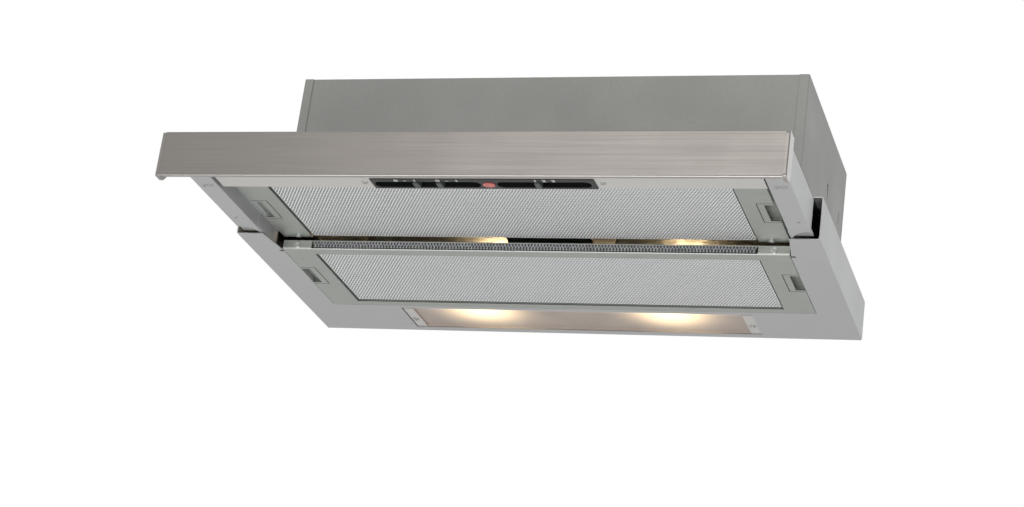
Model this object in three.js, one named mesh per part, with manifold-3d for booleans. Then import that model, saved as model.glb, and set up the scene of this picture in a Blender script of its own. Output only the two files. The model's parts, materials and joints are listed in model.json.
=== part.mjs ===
// Pull-out range hood for a 600 mm wall cabinet, shown with its drawer fully out.
// Millimetres, +Z up, +X to the right, the room in front at -Y.
// Origin: on the wall plane, centred, level with the flange that meets the cabinet's underside.
import * as THREE from 'three';
import { mergeVertices } from 'three/addons/utils/BufferGeometryUtils.js';
import Module from 'manifold-3d';

const wasm = await Module();
wasm.setup();

// ---------- driving dimensions ----------
const sheet = 1;                  // folded steel
const bendRadius = 2;             // outside radius of a fold
const seatGap = 0.3;              // between pieces that meet without touching

const panWidth = 594;             // wide lower tray, which holds the filters; the bar is wider
const panDepth = 267;
const panHeight = 44;
const bandWidth = 35;             // bottom flange on each side of the filter opening
const rearBandDepth = 74;         // bottom flange at the wall, which holds the light
const bandLip = 6;                // upstand round the filter opening
const frontLip = 9;
const frontLipInset = 35;
const reliefDepth = 46;           // notch in each band's front inner corner
const reliefWidth = 6;
const reliefHoleRadius = 2.5;

const housingWidth = 533;         // narrow upper box, which goes up inside the cabinet
const housingDepth = 236;
const housingHeight = 145;
const returnFlange = 10;          // folded edges of the side panels
const topFlange = 8;
const ledgeOverlap = 10;          // how far the pan's top flange runs in under the housing
const footGroove = 0.5;           // scribed line on the pan's flange round the housing's foot
const footGrooveDepth = 0.3;
const slotTop = 89;               // fixing slots in the side panels
const frontSlotY = -97;
const frontSlotWidth = 7;
const frontSlotHeight = 16;
const rearSlotY = -26;
const rearSlotWidth = 2.5;
const rearSlotHeight = 14;
const keyholeSpacing = 400;       // wall fixing holes in the rear panel
const keyholeDrop = 27;           // their middles below the housing's top
const keyholeRadius = 4.5;

const ductDiameter = 120;         // duct size that slides over the spigot
const ductFit = 0.5;              // spigot radius under the duct's
const ductWall = 2;
const ductY = -110;
const collarHeight = 31;
const collarFlange = 15;
const flapPinRadius = 1.5;
const flapPinHeight = 18;
const flapThickness = 1.2;
const flapKnuckle = 2.6;
const flapEdgeGap = 1;
const flapStop = 2.5;             // width of the ledge that the closed flaps lie on
const flapKnuckles = 6;
const flapRise = 0.1;             // stop ledge above the knuckles' lowest line

const glandX = 225;
const glandY = -45;
const glandRadius = 8;
const glandCollar = 3;            // gland's shoulder past its bore in the top panel
const glandDepth = 12;
const glandHeight = 17;
const glandBore = 3.5;

const capacitorX = 150;
const capacitorY = -175;
const capacitorRadius = 15;
const capacitorLength = 52;
const capacitorStud = 8;
const boxHeight = 34;             // terminal box: height off the side panel's foot side
const boxWidth = 58;
const boxDepth = 68;
const boxWall = 2;
const boxBottom = 60;
const boxY = -60;

const fanY = -152;
const fanZ = 66;
const impellerRadius = 46;
const impellerWidth = 78;
const bladeCount = 30;
const bladeDepth = 10;
const bladeThickness = 1;
const hubRadius = 10;
const hubLength = 20;
const shaftRadius = 4;
const scrollWall = 2;
const scrollWidth = 90;
const scrollStart = 53;           // volute radius at the cut-off
const scrollEnd = 80;             // volute radius where it runs into the outlet
const inletRadius = 42;
const motorRadius = 38;
const motorLength = 55;
const bracketDepth = 8;

const drawerReach = 169;          // pan's front edge to the bar's back, drawer out
const armWidth = 21;
const armHeight = 33;
const armDrop = 9;                // arm's top under the cabinet level
const armSideGap = 5.5;           // arm to the pan's side wall
const armOverhang = 14;           // arm's rear end stops this far in front of the pan
const armTongue = 16;             // end plate that runs past the arm's tube
const armSlope = 24;              // length over which the arm's top falls towards the bar
const sideRail = 50;              // filter's rail runs on this far behind the arm's tube
const sideRailHeight = 8;
const sideRailLift = 1;           // its rear part over the arm's underside
const armHoleX = 283;             // drain hole in the arm's underside
const armHoleY = -303;
const armHoleRadius = 1.2;
const armScoop = 20;              // radius of the scooped corner that holds the arm's rear screw
const armScoopDepth = 3;
const armScoopRear = 4;           // scoop's centre behind the end plate
const coverFlange = 8;            // the drawer's roof turns down along the arms
const coverGap = 1;               // roof under the pan's front lip
const coverTail = 5;              // roof runs this far in behind the pan's front edge
const crossDepth = 63;
const crossLift = 2;              // cross member's underside above the arms'
const crossEndGap = 2.5;          // between the cross member's ends and the arms
const railWidth = 18;
const railHeight = 7.4;
const railStart = 25;             // rail's front end behind the pan's front edge
const railLength = 230;
const runnerStart = 41;           // runner's front end behind the bar
const runnerLength = 210;
const runnerNeck = 6;
const runnerGap = 0.3;

const barOverhang = 3;            // bar past the pan on each side
const barHeight = 45;
const barDepth = 18;
const barDrop = 19;
const barLip = 5;
const barCap = 3.5;
const barHem = 2;
const barLipInset = 3.5;          // bar's bottom lip starts this far in from its end caps

const filterThickness = 9.5;
const filterGap = 0.5;
const rearFilterDepth = 154;
const filterPitchGap = 1;         // between the two filters, seen from below
const filterSkin = 1;
const endPlate = 31;
const rearFilterRims = [13.5, 10];  // frame's strips in front of and behind the mesh
const drawerFilterRims = [17, 0];
const meshRecess = 2.4;           // mesh above the frame's underside
const meshSideGap = 2;            // mesh to the frame's end plates
const meshRearGap = 3;
const meshReturn = 2;             // frame's fold over the mesh's edge, on top
const drawerFilterLift = 13;      // drawer filter's underside above the pan's
const latchFromRear = 82;         // rear filter's latches, from its rear edge
const drawerLatchFromRear = 69;
const latchLength = 41;
const latchWidth = 15;
const latchThickness = 2.7;
const latchLift = 5;
const latchTongue = 3;
const latchTongueLength = 24;
const latchTravel = 4.5;
const fingerWidth = 9.5;          // finger hole in front of each latch
const fingerLength = 37;
const latchGroove = 0.9;          // pressed line round each latch
const latchGrooveDepth = 0.6;

const panelWidth = 219;
const panelDepth = 21;
const panelFrontGap = 41;         // control panel's front edge behind the bar's back
const slotRound = 12;             // width of the slots that the sliders run in
const slotMargin = 3;             // slots in front of the panel's rear edge
const sliderTravel = 17;
const slotEnds = [2.5, 4.5];      // plastic left between each slot and the panel's end
const leftSlot = [-panelWidth / 2 + slotEnds[0], -2];
const rightSlot = [14, panelWidth / 2 - slotEnds[1]];
const sliderXs = { light_slider: -65, motor_slider: -42, speed_slider: 54 };
const sliderLength = 5.5;
const sliderDepth = 11;
const sliderProud = 1.5;
const sliderStem = 4;
const pilotX = 6;
const pilotLength = 12;
const pilotWidth = 9.4;

const lampX = 3.5;                // light's middle, a little to the right
const lampRecessWidth = 382;
const lampRecessFront = 67;
const lampRecessRear = 10;
const lampBoxHeight = 36;
const lensThickness = 1.5;
const lensTab = 11;
const bulbX = 102;
const bulbRadius = 13;
const bulbLength = 84;

// ---------- sizes worked out from them ----------
const panHalf = panWidth / 2;
const panBottom = -panHeight;
const openingHalf = panHalf - bandWidth;
const housingHalf = housingWidth / 2;
const ledgeInner = housingHalf - ledgeOverlap;
const panFront = -panDepth;
const keyholeHeight = housingHeight - keyholeDrop;
const panRear = -sheet;                              // the rear panel lies behind the pan
const housingFront = -housingDepth;
const barBack = panFront - drawerReach;
const barFront = barBack - barDepth;
const barTop = -barDrop;
const barBottom = barTop - barHeight;
const armTop = -armDrop;
const armBottom = armTop - armHeight;
const armOuter = panHalf - sheet - armSideGap;
const armInner = armOuter - armWidth;
const armRear = panFront - armOverhang;
const crossBottom = armBottom + crossLift;
const crossRear = barBack + crossDepth;
const crossHalf = armInner - crossEndGap;
const filterHalf = openingHalf - filterGap;
const rearFilterRear = -rearBandDepth - filterGap;
const rearFilterFront = rearFilterRear - rearFilterDepth;
const drawerFilterRear = rearFilterFront - filterPitchGap;
const drawerFilterFront = crossRear + filterGap;
const drawerFilterBottom = panBottom + drawerFilterLift;
const barWidth = panWidth + 2 * barOverhang;
const scrollHalf = scrollWidth / 2;
const collarRadius = ductDiameter / 2 - ductFit;
const collarBore = collarRadius - ductWall;
const stopTop = flapPinHeight - flapKnuckle + flapRise;
const outletTop = housingHeight - sheet;
const slotMiddle = panelDepth / 2 - slotRound / 2 - slotMargin;
const recessHalf = lampRecessWidth / 2;
const lampBoxBottom = panBottom + sheet;

// ---------- finishes ----------
const finish = (color, metalness, roughness, extra = {}) =>
  new THREE.MeshStandardMaterial({ color, metalness, roughness, ...extra });
const greySheet = finish(0xa6a7a6, 0.35, 0.5);
const housingSheet = finish(0x97999a, 0.4, 0.5);
const brushedSteel = finish(0xa39d99, 0.9, 0.35);
const capMetal = finish(0xc6c6c5, 0.8, 0.35);
const galvanised = finish(0xb4b8b8, 0.8, 0.45);
const filterFrame = finish(0xa3a7a1, 0.5, 0.5);
const filterMesh = finish(0xc2c6c8, 0.85, 0.4);
const blackPlastic = finish(0x141414, 0, 0.4);
const greyPlastic = finish(0x6d7069, 0, 0.5);
const knobPlastic = finish(0x55565a, 0, 0.45);
const pilotRed = finish(0xd04a38, 0, 0.3);
const lensPlastic = finish(0xe6c8b4, 0, 0.3, { transparent: true, opacity: 0.6 });
const glass = finish(0xfff0cc, 0, 0.1);
const whiteCeramic = finish(0xe8e6df, 0, 0.5);
const copper = finish(0x8c5a3c, 0.8, 0.4);

// ---------- making solids ----------
function solidFrom(geometry) {
  const plain = geometry.index ? geometry.toNonIndexed() : geometry;
  plain.deleteAttribute('normal');
  plain.deleteAttribute('uv');
  const merged = mergeVertices(plain, 1e-4);
  const vertProperties = new Float32Array(merged.attributes.position.array);
  const triVerts = new Uint32Array(merged.index.array);
  return new wasm.Manifold(new wasm.Mesh({ numProp: 3, vertProperties, triVerts }));
}

function geometryFrom(solid) {
  const mesh = solid.getMesh();
  const geometry = new THREE.BufferGeometry();
  geometry.setAttribute('position', new THREE.BufferAttribute(new Float32Array(mesh.vertProperties), 3));
  geometry.setIndex(new THREE.BufferAttribute(new Uint32Array(mesh.triVerts), 1));
  return geometry;
}

const join = (first, ...rest) => rest.reduce((sum, piece) => sum.add(piece), first);
const cut = (first, ...rest) => rest.reduce((sum, piece) => sum.subtract(piece), first);

function block([x0, x1], [y0, y1], [z0, z1]) {
  const size = [Math.abs(x1 - x0), Math.abs(y1 - y0), Math.abs(z1 - z0)];
  const geometry = new THREE.BoxGeometry(...size);
  geometry.translate((x0 + x1) / 2, (y0 + y1) / 2, (z0 + z1) / 2);
  return solidFrom(geometry);
}

// An outline is a list of [u, v] points. Each of these extrudes one along an axis:
// the outline is [y, z] along X, [x, z] along Y and [x, y] along Z.
function extruded(outline, depth, holes = []) {
  const shape = new THREE.Shape(outline.map(([u, v]) => new THREE.Vector2(u, v)));
  shape.holes = holes.map((hole) => new THREE.Path(hole.map(([u, v]) => new THREE.Vector2(u, v))));
  return new THREE.ExtrudeGeometry(shape, { depth, bevelEnabled: false });
}

function alongX(outline, x0, x1) {
  const geometry = extruded(outline, Math.abs(x1 - x0));
  const [right, back, up] = [0, 1, 2].map((axis) => new THREE.Vector3().setComponent(axis, 1));
  geometry.applyMatrix4(new THREE.Matrix4().makeBasis(back, up, right));
  geometry.translate(Math.min(x0, x1), 0, 0);
  return solidFrom(geometry);
}

function alongY(outline, y0, y1) {
  const geometry = extruded(outline, Math.abs(y1 - y0));
  geometry.rotateX(Math.PI / 2);
  geometry.translate(0, Math.max(y0, y1), 0);
  return solidFrom(geometry);
}

function alongZ(outline, z0, z1, holes = []) {
  const geometry = extruded(outline, Math.abs(z1 - z0), holes);
  geometry.translate(0, 0, Math.min(z0, z1));
  return solidFrom(geometry);
}

function arc(cu, cv, radius, fromDegrees, toDegrees, steps) {
  return Array.from({ length: steps + 1 }, (_, i) => {
    const angle = THREE.MathUtils.degToRad(fromDegrees + ((toDegrees - fromDegrees) * i) / steps);
    return [cu + radius * Math.cos(angle), cv + radius * Math.sin(angle)];
  });
}

const circle = (cu, cv, radius, steps = 24) => arc(cu, cv, radius, 0, 360, steps).slice(0, -1);

// A slot with round ends, along u.
function stadium(u0, u1, v, width, steps = 8) {
  const radius = width / 2;
  return [...arc(u1 - radius, v, radius, -90, 90, steps), ...arc(u0 + radius, v, radius, 90, 270, steps)];
}

function roundedBox([u0, u1], [v0, v1], radius, steps = 4) {
  return [
    ...arc(u0 + radius, v0 + radius, radius, 180, 270, steps),
    ...arc(u1 - radius, v0 + radius, radius, 270, 360, steps),
    ...arc(u1 - radius, v1 - radius, radius, 0, 90, steps),
    ...arc(u0 + radius, v1 - radius, radius, 90, 180, steps),
  ];
}

// Round a path's inner corners with arcs of the given radius.
function bent(path, radius, steps = 3) {
  const points = [path[0]];
  for (let i = 1; i < path.length - 1; i += 1) {
    const corner = new THREE.Vector2(...path[i]);
    const before = new THREE.Vector2(...path[i - 1]).sub(corner).normalize();
    const after = new THREE.Vector2(...path[i + 1]).sub(corner).normalize();
    const start = corner.clone().addScaledVector(before, radius);
    const end = corner.clone().addScaledVector(after, radius);
    const centre = corner.clone().addScaledVector(before, radius).addScaledVector(after, radius);
    for (let k = 0; k <= steps; k += 1) {
      const turn = (k / steps) * (Math.PI / 2);
      const point = centre.clone()
        .addScaledVector(start.clone().sub(centre), Math.cos(turn))
        .addScaledVector(end.clone().sub(centre), Math.sin(turn));
      points.push([point.x, point.y]);
    }
  }
  points.push(path[path.length - 1]);
  return points;
}

// The closed outline of a folded sheet: its outer face follows the path, and its
// thickness lies to the right of the path's direction.
function foldedSheet(path, thickness = sheet, radius = bendRadius) {
  const outer = radius > 0 ? bent(path, radius) : path;
  const inner = outer.map((point, i) => {
    const normals = [];
    if (i > 0) normals.push(rightNormal(outer[i - 1], point));
    if (i < outer.length - 1) normals.push(rightNormal(point, outer[i + 1]));
    const sum = normals.reduce((a, b) => a.clone().add(b)).normalize();
    const stretch = thickness / sum.dot(normals[0]);
    return [point[0] + sum.x * stretch, point[1] + sum.y * stretch];
  });
  return [...outer, ...inner.reverse()];
}

function rightNormal(from, to) {
  return new THREE.Vector2(to[1] - from[1], from[0] - to[0]).normalize();
}

// The same outline on the other side of the middle plane.
const onSide = (side, outline) => outline.map(([x, v]) => [side * x, v]);

function rodX(radius, y, z, x0, x1, steps = 24) {
  return alongX(circle(y, z, radius, steps), x0, x1);
}

function rodZ(radius, x, y, z0, z1, steps = 24) {
  return alongZ(circle(x, y, radius, steps), z0, z1);
}

// A profile of [radius, height] points turned about Z, or laid along X.
function turned(profile, steps = 40) {
  const points = profile.map(([r, h]) => new THREE.Vector2(r, h));
  const geometry = new THREE.LatheGeometry(points, steps);
  geometry.rotateX(Math.PI / 2);
  return solidFrom(geometry);
}

function turnedX(profile, steps = 32) {
  const points = profile.map(([r, h]) => new THREE.Vector2(r, h));
  const geometry = new THREE.LatheGeometry(points, steps);
  geometry.rotateZ(-Math.PI / 2);
  return solidFrom(geometry);
}

const hood = new THREE.Group();

function add(name, solid, material, position = [0, 0, 0], parent = hood) {
  const mesh = new THREE.Mesh(geometryFrom(solid), material);
  mesh.name = name;
  mesh.position.set(...position);
  parent.add(mesh);
  return mesh;
}

const sides = [['left', -1], ['right', 1]];

// ---------- lower pan ----------
function basePan() {
  const wall = [[ledgeInner, 0], [panHalf, 0], [panHalf, panBottom], [openingHalf, panBottom]];
  const bandTop = panBottom + sheet;
  const lipTop = panBottom + bandLip;
  let pan = block([-openingHalf, openingHalf], [-rearBandDepth, panRear], [panBottom, bandTop]);
  for (const [, side] of sides) {
    pan = pan.add(alongY(onSide(side, foldedSheet(wall)), panFront, panRear));
    const lip = [side * openingHalf, side * (openingHalf + sheet)];
    const lipFront = panFront + reliefDepth;
    pan = pan.add(block(lip, [lipFront, -rearBandDepth + sheet], [panBottom, lipTop]));
  }
  const inside = [-ledgeInner, ledgeInner];
  const behind = [-openingHalf, openingHalf];
  pan = join(
    pan,
    block(behind, [-rearBandDepth, -rearBandDepth + sheet], [panBottom, lipTop]),
    block([-panHalf + sheet, panHalf - sheet], [panRear - sheet, panRear], [panBottom, 0]),
    block(inside, [panFront, housingFront + ledgeOverlap], [-sheet, 0]),
    block(inside, [panRear - ledgeOverlap, panRear], [-sheet, 0]),
    block([-panHalf + frontLipInset, panHalf - frontLipInset], [panFront, panFront + sheet], [-frontLip, 0]),
  );
  for (const [, side] of sides) {
    const notchRear = panFront + reliefDepth;
    const notch = [
      [openingHalf - sheet, panFront - sheet], [openingHalf + reliefWidth, panFront - sheet],
      [openingHalf, notchRear], [openingHalf - sheet, notchRear],
    ];
    const hole = circle(openingHalf + reliefHoleRadius, notchRear - reliefHoleRadius, reliefHoleRadius, 12);
    const foot = [side * (housingHalf + seatGap), side * (housingHalf + seatGap + footGroove)];
    pan = cut(
      pan,
      alongZ(onSide(side, notch), panBottom - sheet, bandTop + sheet),
      alongZ(onSide(side, hole), panBottom - sheet, bandTop + sheet),
      block(foot, [panFront - sheet, panRear + sheet], [-footGrooveDepth, sheet]),
    );
  }
  return pan.subtract(block([lampX - recessHalf, lampX + recessHalf], [-lampRecessFront, -lampRecessRear],
    [panBottom - sheet, bandTop + sheet]));
}

// ---------- upper housing ----------
function sidePanel(side) {
  const flangeEdge = housingHalf - returnFlange;
  const path = [
    [flangeEdge, panRear], [housingHalf, panRear], [housingHalf, housingFront], [flangeEdge, housingFront],
  ];
  const panel = alongZ(onSide(side, foldedSheet(path)), 0, housingHeight);
  const through = [side * (housingHalf - 3 * sheet), side * (housingHalf + sheet)];
  const slot = (y, width, height) => block(through, [y - width / 2, y + width / 2],
    [slotTop - height, slotTop]);
  return cut(
    panel,
    slot(frontSlotY, frontSlotWidth, frontSlotHeight),
    slot(rearSlotY, rearSlotWidth, rearSlotHeight),
  );
}

function frontPanel() {
  const face = housingFront + sheet;
  const path = [[face + returnFlange, 0], [face, 0], [face, housingHeight]];
  const half = housingHalf - 2.5 * sheet;
  return alongX(foldedSheet(path), -half, half);
}

function rearPanel() {
  const plate = block([-housingHalf, housingHalf], [-sheet, 0], [panBottom + sheet, housingHeight]);
  const keyholes = sides.map(([, side]) => {
    const x = (side * keyholeSpacing) / 2;
    const neck = keyholeRadius / 2;
    const outline = [
      ...arc(x, keyholeHeight, keyholeRadius, 120, 420, 14),
      [x + neck, keyholeHeight + 3 * keyholeRadius], [x - neck, keyholeHeight + 3 * keyholeRadius],
    ];
    return alongY(outline, -2 * sheet, sheet);
  });
  return cut(plate, ...keyholes);
}

function topPanel() {
  const half = housingHalf - sheet;
  const front = housingFront + 2 * sheet;
  const rear = panRear - sheet;
  const under = housingHeight - sheet;
  const skirt = housingHeight - topFlange;
  const outer = roundedBox([-half, half], [front, rear], bendRadius);
  const inner = roundedBox([-half + sheet, half - sheet], [front + sheet, rear - sheet], bendRadius - sheet);
  const plate = alongZ(outer, skirt, housingHeight);
  const inside = alongZ(inner, skirt - sheet, under);
  return cut(
    plate, inside,
    rodZ(ductDiameter / 2 + sheet, 0, ductY, under - sheet, housingHeight + sheet, 40),
    rodZ(glandRadius + seatGap, glandX, glandY, under - sheet, housingHeight + sheet),
  );
}

add('base_pan', basePan(), greySheet);
for (const [name, side] of sides) add(`side_panel_${name}`, sidePanel(side), housingSheet);
add('front_panel', frontPanel(), housingSheet);
add('rear_panel', rearPanel(), galvanised);
add('top_panel', topPanel(), housingSheet);

// ---------- duct collar with its two non-return flaps ----------
const collar = new THREE.Group();
collar.position.set(0, ductY, housingHeight);
hood.add(collar);

function outletCollar() {
  const flangeRadius = collarRadius + collarFlange;
  const stopRadius = collarBore - flapStop;
  return turned([
    [collarBore, 0], [flangeRadius, 0], [flangeRadius, ductWall], [collarRadius + ductWall, ductWall],
    [collarRadius, 2 * ductWall], [collarRadius, collarHeight - ductWall],
    [collarRadius - ductWall / 2, collarHeight], [collarBore, collarHeight], [collarBore, stopTop],
    [stopRadius, stopTop], [stopRadius, stopTop - ductWall], [collarBore, stopTop - 2 * ductWall],
    [collarBore, 0],
  ]);
}

// Each flap is half a disc with every second knuckle of the hinge.
function flap(half, firstKnuckle) {
  const radius = collarBore - flapEdgeGap;
  const span = radius - flapStop;
  const pitch = (2 * span) / flapKnuckles;
  const under = stopTop + seatGap;
  const knuckleGap = seatGap / 2;
  const outline = arc(0, 0, radius, 0, 180 * half, 24);
  let plate = alongZ(outline, under, under + flapThickness);
  for (let i = 0; i < flapKnuckles; i += 1) {
    const from = -span + i * pitch + knuckleGap;
    const to = from + pitch - 2 * knuckleGap;
    if (i % 2 === firstKnuckle) {
      plate = plate.add(rodX(flapKnuckle, 0, flapPinHeight, from, to, 16));
    } else {
      const reach = flapKnuckle + 2 * seatGap;
      plate = plate.subtract(block([from - 2 * knuckleGap, to + 2 * knuckleGap], [-reach, reach],
        [under - 1, flapPinHeight]));
    }
  }
  const ends = [[-radius - 1, -span], [span, radius + 1]];
  for (const end of ends) {
    plate = plate.subtract(block(end, [-flapKnuckle, flapKnuckle], [under - 1, flapPinHeight]));
  }
  return plate.subtract(rodX(flapPinRadius + seatGap, 0, flapPinHeight, -radius, radius, 16));
}

add('outlet_collar', outletCollar(), greyPlastic, [0, 0, 0], collar);
const pinHalf = collarBore - 2 * seatGap;
add('flap_pin', rodX(flapPinRadius, 0, flapPinHeight, -pinHalf, pinHalf, 12), galvanised, [0, 0, 0], collar);
add('flap_rear', flap(1, 0), blackPlastic, [0, 0, 0], collar);
add('flap_front', flap(-1, 1), blackPlastic, [0, 0, 0], collar);

// ---------- blower: scroll, impeller, motor ----------
// The volute opens from the cut-off under the outlet, down the front, under the wheel
// and up the back, then runs straight up into the outlet.
const cutoffAngle = 80;
const tongueAngle = 97;
const outletFront = fanY + 6;
const outletRear = fanY + scrollEnd;

function voluteRadius(angle) {
  return scrollStart + ((scrollEnd - scrollStart) * (angle - cutoffAngle)) / (360 - cutoffAngle);
}

function volute(fromAngle, wall) {
  const steps = 28;
  return Array.from({ length: steps + 1 }, (_, i) => {
    const angle = fromAngle + ((360 - fromAngle) * i) / steps;
    const radius = voluteRadius(angle) + wall;
    const turn = THREE.MathUtils.degToRad(angle);
    return [fanY + radius * Math.cos(turn), fanZ + radius * Math.sin(turn)];
  });
}

function scrollHalfShell(side) {
  const airway = [...volute(cutoffAngle, 0), [outletRear, outletTop + 1], [outletFront, outletTop + 1]];
  const shell = [
    ...volute(tongueAngle, scrollWall),
    [outletRear + scrollWall, outletTop], [outletFront - scrollWall, outletTop],
  ];
  const inner = scrollHalf - scrollWall;
  const flangeReach = 8;
  const flange = block([0, side * (scrollHalf + flangeReach)],
    [outletFront - flangeReach, outletRear + flangeReach], [outletTop - scrollWall, outletTop]);
  return cut(
    join(alongX(shell, 0, side * scrollHalf), flange),
    alongX(airway, -side, side * inner),
    rodX(inletRadius, fanY, fanZ, side * (inner - 1), side * (scrollHalf + 1), 36),
  );
}

function impeller() {
  const half = impellerWidth / 2;
  const ringWidth = 2;
  const innerRadius = impellerRadius - bladeDepth;
  const ringFrom = innerRadius + 3;
  let wheel = turnedX([
    [0, -hubLength / 2], [hubRadius, -hubLength / 2], [hubRadius, -1], [impellerRadius, -1],
    [impellerRadius, 1], [hubRadius, 1], [hubRadius, hubLength / 2], [0, hubLength / 2],
  ], 36);
  for (const [, side] of sides) {
    const from = side < 0 ? -half : half - ringWidth;
    const ring = turnedX([
      [ringFrom, from], [impellerRadius, from], [impellerRadius, from + ringWidth],
      [ringFrom, from + ringWidth], [ringFrom, from],
    ], 36);
    wheel = wheel.add(ring);
  }
  const sweep = 14;
  for (let i = 0; i < bladeCount; i += 1) {
    const start = (360 / bladeCount) * i;
    const edge = (offset) => Array.from({ length: 4 }, (_, k) => {
      const share = k / 3;
      const radius = innerRadius + (bladeDepth - 0.5) * share;
      const turn = THREE.MathUtils.degToRad(start + sweep * share * share);
      const push = offset / radius;
      return [radius * Math.cos(turn + push), radius * Math.sin(turn + push)];
    });
    const outline = [...edge(0), ...edge(bladeThickness).reverse()];
    wheel = wheel.add(alongX(outline, -half + ringWidth / 2, half - ringWidth / 2));
  }
  return wheel.subtract(rodX(shaftRadius + seatGap, 0, 0, -half, half, 20));
}

const motorFace = scrollHalf + bracketDepth;

function motorBody() {
  const r = motorRadius;
  const chamfer = 5;
  const body = turnedX([
    [0, 0], [r - chamfer, 0], [r, chamfer], [r, 18], [r - 2, 20], [r - 2, motorLength - 20],
    [r, motorLength - 18], [r, motorLength - chamfer], [r - chamfer, motorLength], [12, motorLength],
    [10, motorLength + 4], [0, motorLength + 4],
  ], 36);
  return body.subtract(rodX(shaftRadius + seatGap, 0, 0, -1, motorLength * 0.6, 20));
}

// Three-armed spider that carries the motor in front of the scroll's inlet.
function motorBracket() {
  const plateFrom = bracketDepth - 3;
  const footFrom = inletRadius + 6;
  const footTo = inletRadius + 14;
  let spider = rodX(24, 0, 0, plateFrom, bracketDepth, 28);
  for (const angle of [90, 210, 330]) {
    const turn = THREE.MathUtils.degToRad(angle);
    const place = ([u, v]) => [u * Math.cos(turn) - v * Math.sin(turn), u * Math.sin(turn) + v * Math.cos(turn)];
    const arm = [[18, -5], [footTo, -5], [footTo, 5], [18, 5]].map(place);
    const foot = [[footFrom, -5], [footTo, -5], [footTo, 5], [footFrom, 5]].map(place);
    spider = join(spider, alongX(arm, plateFrom, bracketDepth), alongX(foot, 0, plateFrom + 1));
  }
  return spider.subtract(rodX(hubRadius, 0, 0, -1, bracketDepth + 1, 20));
}

for (const [name, side] of sides) {
  add(`scroll_half_${name}`, scrollHalfShell(side), greyPlastic);
}
const blower = new THREE.Group();
blower.position.set(0, fanY, fanZ);
hood.add(blower);
const shaftReach = motorFace + motorLength * 0.5;
add('fan_impeller', impeller(), blackPlastic, [0, 0, 0], blower);
add('motor_shaft', rodX(shaftRadius, 0, 0, -hubLength / 2 - 6, shaftReach, 20), galvanised, [0, 0, 0], blower);
add('motor', motorBody(), copper, [motorFace, 0, 0], blower);
add('motor_bracket', motorBracket(), galvanised, [scrollHalf, 0, 0], blower);

// ---------- electrics in the housing ----------
function capacitor() {
  const radius = capacitorRadius;
  const length = capacitorLength;
  const chamfer = 2;
  const stud = 4;
  const clipFrom = 14;
  const clipTo = 34;
  const can = turnedX([
    [0, 0], [radius - 1, 0], [radius, 1], [radius, length - chamfer], [radius - chamfer, length],
    [stud, length], [stud, length + capacitorStud], [0, length + capacitorStud],
  ], 28);
  const clip = block([clipFrom, clipTo], [-radius - chamfer, radius + chamfer], [0, radius + seatGap]);
  return can.add(clip);
}

// The box stands against the right side panel, and its lid lies on top.
function terminalBox() {
  const half = boxDepth / 2;
  const outer = block([0, boxWidth], [-half, half], [0, boxHeight]);
  const inner = block([boxWall, boxWidth - boxWall], [-half + boxWall, half - boxWall],
    [boxWall, boxHeight + boxWall]);
  const entryRadius = 5;
  const entryY = 14;
  const entries = [-entryY, entryY].map((y) => rodX(entryRadius, y, boxHeight / 2, -1, boxWall + 1, 16));
  return cut(outer, inner, ...entries);
}

function terminalLid() {
  const half = boxDepth / 2;
  const spigotDepth = 3;
  const outer = boxWall + filterGap;
  const inner = 2 * boxWall;
  const plate = block([0, boxWidth], [-half, half], [0, boxWall]);
  const spigot = block([outer, boxWidth - outer], [-half + outer, half - outer], [-spigotDepth, 0]);
  const hollow = block([inner, boxWidth - inner], [-half + inner, half - inner], [-spigotDepth - 1, 0]);
  return join(plate, cut(spigot, hollow));
}

function cableGland() {
  const seat = glandRadius + glandCollar;
  const nut = glandRadius + 1;
  return turned([
    [glandBore, -glandDepth], [glandRadius, -glandDepth], [glandRadius, 0], [seat, 0], [seat, 4], [nut, 5],
    [nut, 9], [nut - 2, glandHeight - 3], [5, glandHeight], [glandBore, glandHeight],
    [glandBore, -glandDepth],
  ], 24);
}

const boxX = housingHalf - sheet - boxWidth;
const capacitorZ = outletTop - capacitorRadius - seatGap;
add('capacitor', capacitor(), greyPlastic, [capacitorX, capacitorY, capacitorZ]);
add('terminal_box', terminalBox(), whiteCeramic, [boxX, boxY, boxBottom]);
add('terminal_box_lid', terminalLid(), whiteCeramic, [boxX, boxY, boxBottom + boxHeight]);
add('cable_gland', cableGland(), blackPlastic, [glandX, glandY, housingHeight]);

// ---------- light at the rear ----------
const lampTabTop = 2.5;

function lampBox() {
  const t = sheet;
  const half = recessHalf + 5;
  const front = -lampRecessFront - 4;
  const rear = panRear - 3 * sheet;
  const top = lampBoxBottom + lampBoxHeight;
  const shell = cut(
    block([-half, half], [front, rear], [lampBoxBottom, top]),
    block([-half + t, half - t], [front + t, rear - t], [lampBoxBottom - t, top - t]),
  );
  const middle = (-lampRecessFront - lampRecessRear) / 2;
  const tabs = sides.map(([, side]) => block([side * (recessHalf - lensTab), side * half],
    [middle - 10, middle + 10], [lampBoxBottom + lensThickness, lampBoxBottom + lampTabTop]));
  return join(shell, ...tabs);
}

function lampLens() {
  const gap = 0.5;
  const front = -lampRecessFront + gap;
  const rear = -lampRecessRear - gap;
  const low = lampBoxBottom;
  const raise = 1.5;
  const half = recessHalf - gap;
  const under = [[front, low], [front + 9, low + raise], [rear - 2.5, low + raise], [rear, low]];
  const over = under.map(([y, z]) => [y, z + lensThickness]).reverse();
  const overlap = 1;
  const window = alongX([...under, ...over], -half + lensTab, half - lensTab);
  const tabs = sides.map(([, side]) => block([side * (half - lensTab - overlap), side * half], [front, rear],
    [low, low + lensThickness]));
  return join(window, ...tabs);
}

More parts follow.
